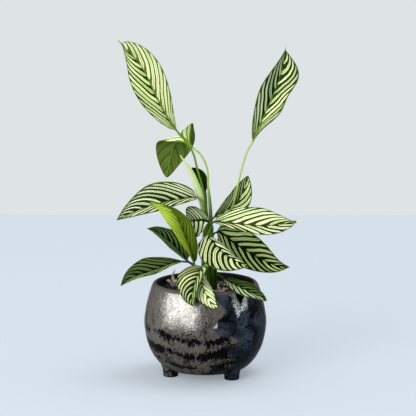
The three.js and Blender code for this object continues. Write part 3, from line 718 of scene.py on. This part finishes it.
def rod_finish(name, low, high, streak):
    """A smooth stem, whose colour runs from its foot to its tip with long faint streaks."""
    finish = Finish(name)
    along, around, seam = finish.attribute("rod")
    streaks = finish.noise(finish.vector(along * 2.5, around * 9, 0), 1, 3, 0.6)
    colour = finish.blend(along.step(0.25, 0.75), low, high)
    colour = finish.blend(streaks.step(0.45, 0.75) * 0.6, colour, streak)
    colour = finish.blend(abs(seam).fade(0, 0.25) * 0.7, colour, streak)
    grain = finish.noise(finish.place(), 1200)
    normal = finish.bump(streaks + grain * 0.2, 0.3, 0.25)
    return finish.shine(Base_Color=colour, Roughness=grain * 0.15 + 0.4, Normal=normal)


def soil_height(x, y):
    """Height of the soil: a low mound with lumps, base + mound (1 - (r / R)^2) + two products of sines."""
    spread = np.hypot(x, y) / RIM_INNER
    lumps = np.sin(0.31 * x + 1.3) * np.cos(0.27 * y) + 0.6 * np.sin(0.55 * y + 0.4 * x)
    return SOIL_Z + SOIL_MOUND * (1 - spread * spread) + lumps


def disc_spots(count, reach, rng):
    """Random places spread evenly over a disc round the pot's axis."""
    out = reach * np.sqrt(rng.random(count))
    turn = 2 * np.pi * rng.random(count)
    return out * np.cos(turn), out * np.sin(turn)


def lump():
    """A small round body of a few dozen faces, radius 1."""
    tilt = np.linspace(0.2, 0.8, 3) * np.pi
    points, faces = turned(np.sin(tilt), -np.cos(tilt), LUMP_SIDES)
    points[-2:] = [[0, 0, -1], [0, 0, 1]]
    return points, faces


def scattered(places, sizes, rng, roughness=0.25):
    """Many lumps as one set of points and faces: each is dented, stretched to its sizes and turned at random
    by a quaternion (w, a): p + 2 (w a x p + a x (a x p))."""
    points, faces = lump()
    count = len(places)
    shaped = points[None] * (1 + roughness * rng.standard_normal((count, len(points), 1))) * sizes[:, None]
    quaternion = unit(rng.standard_normal((count, 1, 4)))
    across = np.cross(quaternion[..., 1:], shaped)
    shaped = shaped + 2 * (quaternion[..., :1] * across + np.cross(quaternion[..., 1:], across))
    all_faces = [[corner + i * len(points) for corner in face] for i in range(count) for face in faces]
    tone = np.repeat(rng.random((count, 3)), len(points), 0)
    return (shaped + places[:, None]).reshape(-1, 3), all_faces, {"tone": tone}


def crumb_finish(name, dark, light, rough):
    """A dry crumb: each its own shade between two colours, with a fine grain."""
    finish = Finish(name)
    shade, _, _ = finish.attribute("tone")
    grain = finish.noise(finish.place(), 700, 4, 0.6)
    colour = finish.blend(shade * 0.7 + grain * 0.4 - 0.05, dark, light)
    return finish.shine(Base_Color=colour, Roughness=rough, Normal=finish.bump(grain, 0.8, 0.5))


def soil_finish(name, dark, light):
    """Moist soil: dark with lighter grains, and a relief of grains and clods. Its near-black colours are
    partly the soil's own and partly painted shade inside the pot.
    """
    finish = Finish(name)
    place = finish.place()
    grain = finish.noise(place, 420, 5, 0.65)
    clods = finish.noise(place, 120, 3)
    colour = finish.blend(grain.step(0.4, 0.75) * 0.8, dark, light)
    return finish.shine(Base_Color=colour, Roughness=0.97, Normal=finish.bump(grain + clods, 1, 1.2))


def with_painted_reflection(finish, colour, x, y, z, ragged, flakes):
    """The colour with a painted reflection under the rim at the front: two pale crackled arms that meet in a
    tail are a painted highlight, the near-black V between them is the painted dark reflection of a leaf, and
    a small pale spot on their left is a painted highlight."""
    arms_left, arms_right, tail_top = 35, 58, 104
    v_middle, v_tip = 49, 111
    spot_left, spot_foot = 11, 84
    in_front = y.fade(-30, -20)
    tail = (z + ragged * 0.3).fade(tail_top - 1, tail_top + 2)
    from_left = x - arms_left - (128 - z) * 0.32 + ragged
    from_right = arms_right - tail * 9 - (tail_top - z).at_least(0) * 0.5 - x + ragged
    arms = from_left.step(-0.8, 0.8) * from_right.step(-0.8, 0.8)
    arms = arms * ((flakes + tail * 0.1).step(0.42, 0.56) * 0.85 + 0.1)
    painted_dark_v = (abs(x - v_middle) - (z - v_tip) * 0.46 + ragged * 0.3).fade(-1, 1)
    spot = (x - spot_left - (z - spot_foot) * 0.8 + ragged * 0.5).step(-1.5, 1.5)
    spot = spot * x.fade(15.5, 18) * z.step(spot_foot - 1.5, spot_foot + 1.5)
    # Painted highlight: the pale arms and the spot
    colour = finish.blend(arms.at_least(spot * 0.7) * in_front, colour, (0.62, 0.66, 0.63))
    # Painted reflection of a leaf: the near-black V
    return finish.blend(painted_dark_v * in_front, colour, (0.002, 0.002, 0.002))


def glaze_finish(name, settings):
    """A dark metallic glaze of warm pewter, which is paler towards the left as painted light, and a
    slate-blue right side that is painted shade and a painted reflection of a blue sky, with dark stains that
    ran down in feathered, wavy bands, a crackle, a matt brown rim, and the inside painted near black as
    shade. Places are millimetres from the axis."""
    finish = Finish(name)
    place = finish.place()
    x, y, z = ((part - float(middle * MM)) / MM for part, middle in zip(finish.parts(place), AXIS))
    waver = finish.noise(place, 24) - 0.5
    feather = finish.noise(finish.vector(x * 0.35, y * 0.35, z * 0.06), 1, 3, 0.65) - 0.5
    specks = finish.noise(finish.vector(x, y, z), 0.42, 3, 0.7)
    grit = specks - 0.5
    clouds = finish.noise(place, 45, 3, 0.6)
    patchy = clouds.step(0.38, 0.58)

    wavy_z = z + waver * 24 + ((x + 14) * 0.055).cosine() * 5
    band = 0
    for height, reach, strength in GLAZE_BANDS:
        depth = height - wavy_z
        run = (depth + feather * 30).fade(reach * 0.2, reach * 1.7)
        band = ((depth + feather * 22 + grit * 10).step(-1.5, 3.5) * run * strength).at_least(band)
    below = (wavy_z + feather * 24 + x * 0.3).fade(70, 100)
    hollow = (z - 45) * (1 / 30)
    border = ((z - 96) * 0.16).sine() * 8 + (1 - hollow * hollow).at_least(0) * 26 + 18
    # z.fade(8, 18) adds more stains low down: painted shade that darkens the feet under the bowl
    density = band * (patchy * 0.15 + 0.175) + below * patchy * 0.15 + 0.335 + z.fade(8, 18) * 0.14
    density = density + abs(x - border + 6).fade(2, 22) * z.fade(52, 70) * 0.12
    density = density + (abs(x - 2) + abs(z - 94) * 0.5).fade(6, 24) * 0.12
    stains = (density - specks).step(-0.04, 0.06)

    # Painted shade and painted sky reflection: beyond a wavy border the right side turns slate blue with
    # lighter blotches
    shade_and_sky_side = (x - border + waver * 26 + feather * 16 + grit * 20).step(-3, 3)
    slate = finish.blend(clouds.step(0.42, 0.6), settings.shade_and_sky_colour, (0.043, 0.053, 0.075))
    bent = finish.vector(x * 0.024 + waver * 1.4, y * 0.024 + clouds * 0.5, z * 0.034 + waver)
    cracks = (finish.cells(bent, 1) + grit * 0.22 + (clouds - 0.5) * 0.2).fade(0, 0.08)
    pewter = finish.blend((feather + 0.5).step(0.35, 0.7), settings.pewter_colour, (0.16, 0.14, 0.125))
    # Painted light: the pewter grows paler towards the left, where the light falls
    pewter = finish.blend(x.fade(-88, -35) * 0.6, pewter, (0.25, 0.225, 0.195))
    pewter = finish.blend(specks.step(0.5, 0.62) * 0.6, pewter, (0.035, 0.03, 0.026))
    colour = finish.blend(shade_and_sky_side, pewter, slate)
    stains = (stains * (1 - shade_and_sky_side * 0.6)).at_least(cracks * shade_and_sky_side)
    colour = finish.blend(stains, colour, settings.stain_colour)
    # Painted highlight and painted leaf reflection under the rim at the front
    colour = with_painted_reflection(finish, colour, x, y, z, grit * 14, finish.noise(place, 480))

    rim = (z + waver * 3).step(RIM_TOP_Z - 5.5, RIM_TOP_Z - 2.5)
    colour = finish.blend(rim, colour, settings.rim_colour)
    # Painted shade: the inside wall below the rim is darkened to near black
    painted_inner_shade = (x * x + y * y).root().fade(RIM_INNER + 1, RIM_INNER + 4) * z.step(100, 104)
    colour = finish.blend(painted_inner_shade, colour, (0.012, 0.011, 0.01))
    relief = feather * 0.7 + specks * 0.4 + clouds * 2 + finish.cells(place, 260).step(0, 0.12) * 0.12
    mottle = finish.noise(finish.vector(x, y, z * 0.6), 0.16, 3, 0.6).step(0.4, 0.62)
    roughness = specks * 0.16 + patchy * 0.12 + mottle * 0.14 + rim * 0.4 + painted_inner_shade * 0.4 + 0.03
    return finish.shine(
        Base_Color=colour, Metallic=(1 - rim) * (1 - painted_inner_shade) * settings.metal, Roughness=roughness,
        Normal=finish.bump(relief, 0.35, 0.8), Specular_IOR_Level=0.1, Specular_Tint=(0.25, 0.25, 0.25))


def inner_wall(inset):
    """The bowl's inner wall from its floor up to below the rim, moved inwards by the inset."""
    wall = POT_WALL + inset
    line = Line([(POT_BASE_RADIUS - FLOOR_INSET - inset, POT_FLOOR_Z + inset), (POT_WIDEST - wall - 11, 40),
                 (POT_WIDEST - wall, POT_WIDEST_Z), (POT_WIDEST - wall - 7, 108),
                 (RIM_INNER - inset, RIM_TOP_Z - LIP_DEPTH)])
    return line.at(np.linspace(0, line.lengths[-1], WALL_RINGS))[0]


def pot_outline():
    """Radii and heights from the underside's middle, over the belly and the rim, and down to the floor."""
    belly = Line([
        (POT_BASE_RADIUS, POT_UNDERSIDE_Z), (56, 11), (68, 21), (80, 42), (POT_WIDEST, POT_WIDEST_Z),
        (84, 94), (80.5, 110), (RIM_OUTER + 2.5, 122), (RIM_OUTER, 128.5), (RIM_OUTER - 1.8, RIM_TOP_Z - 1),
        (RIM_OUTER - 4.4, RIM_TOP_Z), (RIM_INNER + 1.2, RIM_TOP_Z - 0.8), (RIM_INNER, RIM_TOP_Z - LIP_DEPTH)])
    outer, _ = belly.at(np.linspace(0, belly.lengths[-1], BELLY_RINGS))
    base = level(np.linspace(3, POT_BASE_RADIUS, 14, endpoint=False), POT_UNDERSIDE_Z)
    floor = level(np.linspace(POT_BASE_RADIUS - FLOOR_INSET, 3, 12)[1:], POT_FLOOR_Z)
    return np.vstack([base, outer, inner_wall(0)[::-1][1:], floor]).T


def foot(angle):
    """Points and faces of one foot, which flares where it grows out of the bowl."""
    rise = np.linspace(0, 1, 16)
    radii = np.concatenate([[2, 4.5, FOOT_SOLE - 2, FOOT_SOLE - 0.8], mix(FOOT_SOLE, FOOT_ROOT, rise ** 2)])
    heights = np.concatenate([[0, 0, 0, 0.4], mix(1.5, FOOT_ROOT_Z, rise)])
    points, faces = turned(radii, heights, FOOT_SIDES)
    turn = math.radians(angle)
    return points + [FOOT_ORBIT * math.cos(turn), FOOT_ORBIT * math.sin(turn), 0], faces


def join_into(piece, others):
    """One closed body of the piece and the others, which are then removed."""
    group = bpy.data.collections.new("parts to join")
    for other in others:
        group.objects.link(other)
    union = piece.modifiers.new("union", "BOOLEAN")
    union.operation = "UNION"
    union.operand_type = "COLLECTION"
    union.collection = group
    union.solver = "EXACT"
    done = bpy.data.meshes.new_from_object(piece.evaluated_get(bpy.context.evaluated_depsgraph_get()))
    piece.modifiers.clear()
    piece.data = done
    for other in others:
        bpy.data.objects.remove(other)
    bpy.data.collections.remove(group)


def setting_kind(make, **fixed):
    """A function that makes settings of one kind, each from its name, its description and its default."""
    def setting(name, description, default):
        return make(name=name, description=description, default=default, **fixed)
    return setting


share_setting = setting_kind(bpy.props.FloatProperty, subtype="FACTOR", min=0, max=1)
length_setting = setting_kind(bpy.props.FloatProperty, unit="LENGTH")
power_setting = setting_kind(bpy.props.FloatProperty, unit="POWER")
colour_setting = setting_kind(bpy.props.FloatVectorProperty, subtype="COLOR")
count_setting = setting_kind(bpy.props.IntProperty, min=0)


class PotSettings(bpy.types.PropertyGroup):
    pewter_colour: colour_setting("Pewter", "Colour of the glaze's warm side", (0.115, 0.1, 0.084))
    # The pewter is the glaze's own colour; the slate colour is painted shade and a painted reflection of a
    # blue sky on the right side
    shade_and_sky_colour: colour_setting("Slate", "Colour of the glaze's cool side", (0.011, 0.014, 0.02))
    stain_colour: colour_setting("Stain", "Colour of the dark bands", (0.003, 0.003, 0.003))
    rim_colour: colour_setting("Rim", "Colour of the matt rim", (0.085, 0.074, 0.065))
    metal: share_setting("Metal", "How metallic the glaze is", 0.7)


class SoilSettings(bpy.types.PropertyGroup):
    # Both colours are near black: the moist soil's own dark, deepened as painted shade inside the pot
    dark_colour: colour_setting("Dark", "Colour of the moist soil", (0.003, 0.0025, 0.002))
    light_colour: colour_setting("Light", "Colour of its dry crumbs", (0.018, 0.014, 0.011))
    crumbs: count_setting("Crumbs", "Loose crumbs on the soil", 420)
    chips: count_setting("Chips", "Pale bits of bark on the soil", 46)
    crumb_size: length_setting("Crumb size", "Radius of a crumb", 1.3 * MM)
    seed: count_setting("Seed", "Seed of the crumbs' places", 7)


class LeafSettings(bpy.types.PropertyGroup):
    thickness: length_setting("Thickness", "Thickness of a blade", 0.55 * MM)
    pucker: length_setting("Pucker", "Height of the puckers between side veins", 0.14 * MM)
    gloss: share_setting("Gloss", "Strength of a blade's shine", 0.015)
    underside_colour: colour_setting("Underside", "Colour of a blade's underside", tint("405316"))
    stalk_foot_colour: colour_setting("Stalk foot", "Colour of a stalk near the soil", tint("3F5A18"))


class StageSettings(bpy.types.PropertyGroup):
    floor_colour: colour_setting("Floor", "Colour of the floor", (0.325, 0.356, 0.393))
    floor_glow: bpy.props.FloatProperty(
        name="Floor glow", description="How much the floor shines, to soften its shadows", default=0.73)
    wall_colour: colour_setting("Backdrop", "Colour behind the plant", tint("DEE3E6"))
    floor_half: length_setting("Floor reach", "From the pot's axis to the floor's edge", 1.211)
    distance: length_setting("Camera distance", "From the camera to the plant", 4)
    elevation: bpy.props.FloatProperty(
        name="Camera elevation", description="How far the camera looks down", subtype="ANGLE",
        default=math.radians(10.5))
    lens: bpy.props.FloatProperty(
        name="Lens", description="Focal length for a 36 mm sensor", unit="CAMERA", default=247.25)
    key_power: power_setting("Key light", "Power of the large soft light at the left", 275)
    top_power: power_setting("Top light", "Power of the soft light above", 129)
    sheen_power: power_setting("Sheen light", "Power of the soft box that only glossy surfaces mirror", 360)


class CALATHEA_OT_pot(bpy.types.Operator):
    """Make the glazed bowl pot with its three feet"""

    bl_idname = "calathea.pot"
    bl_label = "Glazed pot"

    def execute(self, context):
        finish = glaze_finish("glaze", context.scene.calathea_pot)
        pot = make_object("glazed_pot", *turned(*pot_outline(), POT_SIDES), finish)
        feet = [make_object(f"foot_{i}", *foot(angle), finish) for i, angle in enumerate(FOOT_ANGLES)]
        join_into(pot, feet)
        keep(pot, "glaze", "pot")
        return {"FINISHED"}


class CALATHEA_OT_soil(bpy.types.Operator):
    """Make the soil with its crumbs and bits of bark"""

    bl_idname = "calathea.soil"
    bl_label = "Soil"

    def execute(self, context):
        settings = context.scene.calathea_soil
        colours = settings.dark_colour, settings.light_colour
        rng = np.random.default_rng(settings.seed)
        wall = inner_wall(GAP)
        wall = wall[wall[:, 1] < SOIL_Z - 1]
        base = level(np.linspace(3, wall[0, 0], 10, endpoint=False), wall[0, 1])
        top = level(np.linspace(wall[-1, 0], 1.5, SOIL_TOP_RINGS), SOIL_Z)
        points, faces = turned(*np.vstack([base, wall, top]).T, SOIL_SIDES)
        on_top = points[:, 2] > SOIL_Z - 0.5
        x, y, _ = points[on_top].T
        crumble = 0.5 * np.sin(1.9 * x + 0.7 * y) * np.cos(1.7 * y - 0.5 * x)
        points[on_top, 2] = soil_height(x, y) + (crumble + 0.35 * np.sin(3.1 * x) * np.sin(2.9 * y))
        finish = soil_finish("potting soil", *colours)
        keep(make_object("soil_filling", points, faces, finish), "soil", "soil")

        size = settings.crumb_size / MM
        count = settings.crumbs
        x, y = disc_spots(count, RIM_INNER - 2, rng)
        sizes = size * rng.uniform(0.5, 1.6, (count, 1)) * rng.uniform(0.6, 1.2, (count, 3))
        places = np.stack([x, y, soil_height(x, y) + 0.3 * size], -1)
        points, faces, told = scattered(places, sizes, rng)
        finish = crumb_finish("dry crumbs", *colours, 0.95)
        keep(make_object("soil_crumbs", points, faces, finish, told), "soil")

        x, y = disc_spots(settings.chips, RIM_INNER - 6, rng)
        sizes = rng.uniform(0.6, 1.3, (settings.chips, 1)) * [CHIP_SIZE]
        places = np.stack([x, y, soil_height(x, y) + 1.1], -1)
        points, faces, told = scattered(places, sizes, rng, 0.2)
        finish = crumb_finish("bark chips", "6A5A4C", "B5A391", 0.85)
        keep(make_object("bark_chips", points, faces, finish, told), "soil")
        return {"FINISHED"}


class CALATHEA_OT_leaves(bpy.types.Operator):
    """Make every leaf, each as one body of stalk and blade"""

    bl_idname = "calathea.leaves"
    bl_label = "Leaves"

    def execute(self, context):
        settings = context.scene.calathea_leaves
        for node, leaf in LEAVES.items():
            rings, told, reach = leaf_surface(leaf, settings)
            finish = leaf_finish(f"{node} blade", leaf, settings)
            piece = make_object(
                f"{node}_blade", rings.reshape(-1, 3), skin_faces(*rings.shape[:2]), finish,
                {"leaf": told.reshape(-1, 3), "reach": reach.reshape(-1, 3)})
            keep(piece, "new_leaf" if node == "leaf_new" else "striped_leaf", node)
        return {"FINISHED"}


class CALATHEA_OT_shoots(bpy.types.Operator):
    """Make the rolled young leaf and the sheath"""

    bl_idname = "calathea.shoots"
    bl_label = "Rolled leaf and sheath"

    def execute(self, context):
        for node, rod in RODS.items():
            path = rooted(rod["hole"], rod["path"])
            rings, told = rod_rings(path, rod["radii"], rod["squeeze"], ROD_STATIONS, ROD_SIDES, SEAM_DEPTH)
            piece = make_object(f"{node}_skin", rings.reshape(-1, 3), skin_faces(ROD_STATIONS, ROD_SIDES),
                                rod_finish(*rod["finish"]), {"rod": told.reshape(-1, 3)})
            keep(piece, node, node)
        return {"FINISHED"}


class CALATHEA_OT_stubs(bpy.types.Operator):
    """Make the dried remains of old stalks"""

    bl_idname = "calathea.stubs"
    bl_label = "Dried stubs"

    def execute(self, context):
        rng = np.random.default_rng(STUB_SEED)
        finish = crumb_finish("dried stalk", "9A897A", "E6DACE", 0.85)
        skin = skin_faces(STRAND_STATIONS, STRAND_SIDES)
        each = STRAND_STATIONS * STRAND_SIDES
        for node, ((x, y), strands) in DRY_STUBS.items():
            ground = soil_height(x, y) + 1
            parts = []
            for i, (path, radius) in enumerate(strands):
                way = [(x + dx, y + dy, ground + dz) for dx, dy, dz in path]
                way = [(x, y, STALK_FOOT_Z), *way] if i == 0 else way
                radii = [radius * share for share in STRAND_TAPER]
                rings, _ = rod_rings(way, radii, 1, STRAND_STATIONS, STRAND_SIDES)
                middle = rings.mean(1, keepdims=True)
                knots = 1 + 0.16 * rng.standard_normal((STRAND_STATIONS, STRAND_SIDES, 1))
                knots = knots + 0.2 * rng.standard_normal((STRAND_STATIONS, 1, 1))
                parts.append(middle + (rings - middle) * np.clip(knots, 0.55, 1.25))
            flakes = rng.uniform(-1, 1, (STUB_FLAKES, 3)) * [7, 5, 8] + [x, y, ground + 7]
            sizes = rng.uniform(0.6, 1.2, (STUB_FLAKES, 1)) * [FLAKE_SIZE]
            tones = [np.full((each, 3), rng.random()) for _ in parts]
            points = np.concatenate(parts).reshape(-1, 3)
            faces = [face for i in range(len(parts)) for face in (skin + i * each).tolist()]
            nearest = np.argmin(np.linalg.norm(flakes[:, None] - points, axis=-1), 1)
            more, more_faces, told = scattered(points[nearest], sizes, rng)
            faces += [[corner + len(points) for corner in face] for face in more_faces]
            piece = make_object(f"{node}_fibres", np.vstack([points, more]), faces, finish,
                                {"tone": np.vstack([*tones, told["tone"]])})
            keep(piece, "dry", node)
        return {"FINISHED"}


class CALATHEA_OT_stage(bpy.types.Operator):
    """Make the floor, the lights and the camera"""

    bl_idname = "calathea.stage"
    bl_label = "Stage"

    def execute(self, context):
        settings = context.scene.calathea_stage
        floor_finish = Finish("floor").shine(
            Base_Color=settings.floor_colour, Roughness=0.9, Specular_IOR_Level=0.1,
            Emission_Color=settings.floor_colour, Emission_Strength=settings.floor_glow)
        reach = settings.floor_half / MM
        corners = reach * np.array([[-1, -1, 0], [1, -1, 0], [1, 1, 0], [-1, 1, 0]])
        make_object("floor", corners, [[0, 1, 2, 3]], floor_finish)

        world = context.scene.world or bpy.data.worlds.new("world")
        context.scene.world = world
        world.use_nodes = True
        background = world.node_tree.nodes["Background"].inputs
        background["Color"].default_value = (*settings.wall_colour, 1)
        background["Strength"].default_value = 1

        target = Vector((AXIS + CAMERA_TARGET) * MM)
        lamps = {name: self.light(name, target, getattr(settings, f"{name}_power"), *row)
                 for name, row in LIGHTS.items()}
        lamps["key"].visible_glossy = False
        lamps["sheen"].visible_diffuse = False

        camera = bpy.data.objects.new("camera", bpy.data.cameras.new("camera"))
        context.scene.collection.objects.link(camera)
        back = Vector((0, -math.cos(settings.elevation), math.sin(settings.elevation)))
        camera.location = target + back * settings.distance
        camera.rotation_euler = (-back).to_track_quat("-Z", "Y").to_euler()
        camera.data.lens = settings.lens
        camera.data.sensor_width = 36
        camera.data.clip_end = 100
        context.scene.camera = camera
        context.scene.view_settings.view_transform = "Standard"
        return {"FINISHED"}

    def light(self, name, target, power, offset, sides, colour):
        """A soft light that faces the target from an offset in metres."""
        lamp = bpy.data.lights.new(name, "AREA")
        lamp.shape = "RECTANGLE"
        lamp.size, lamp.size_y = sides
        lamp.energy = power
        lamp.color = colour
        holder = bpy.data.objects.new(name, lamp)
        holder.location = target + Vector(offset)
        holder.rotation_euler = (-Vector(offset)).to_track_quat("-Z", "Y").to_euler()
        bpy.context.scene.collection.objects.link(holder)
        return holder


OPERATORS = (CALATHEA_OT_pot, CALATHEA_OT_soil, CALATHEA_OT_leaves, CALATHEA_OT_shoots, CALATHEA_OT_stubs,
             CALATHEA_OT_stage)
SETTINGS = {"calathea_pot": PotSettings, "calathea_soil": SoilSettings, "calathea_leaves": LeafSettings,
            "calathea_stage": StageSettings}


class CALATHEA_PT_panel(bpy.types.Panel):
    """The plant's pieces and their settings"""

    bl_label = "Potted calathea"
    bl_idname = "CALATHEA_PT_panel"
    bl_space_type = "VIEW_3D"
    bl_region_type = "UI"
    bl_category = "Calathea"

    def draw(self, context):
        for operator in OPERATORS:
            self.layout.operator(operator.bl_idname)
        for name, group in SETTINGS.items():
            box = self.layout.box()
            for key in group.__annotations__:
                box.prop(getattr(context.scene, name), key)


def register():
    for group in SETTINGS.values():
        bpy.utils.register_class(group)
    for name, group in SETTINGS.items():
        setattr(bpy.types.Scene, name, bpy.props.PointerProperty(type=group))
    for operator in (*OPERATORS, CALATHEA_PT_panel):
        bpy.utils.register_class(operator)


def unregister():
    for operator in (CALATHEA_PT_panel, *reversed(OPERATORS)):
        bpy.utils.unregister_class(operator)
    for name, group in SETTINGS.items():
        delattr(bpy.types.Scene, name)
        bpy.utils.unregister_class(group)


def main():
    register()
    bpy.ops.calathea.stage()
    bpy.ops.calathea.pot()
    bpy.ops.calathea.soil()
    bpy.ops.calathea.leaves()
    bpy.ops.calathea.shoots()
    bpy.ops.calathea.stubs()


if __name__ == "__main__":
    main()
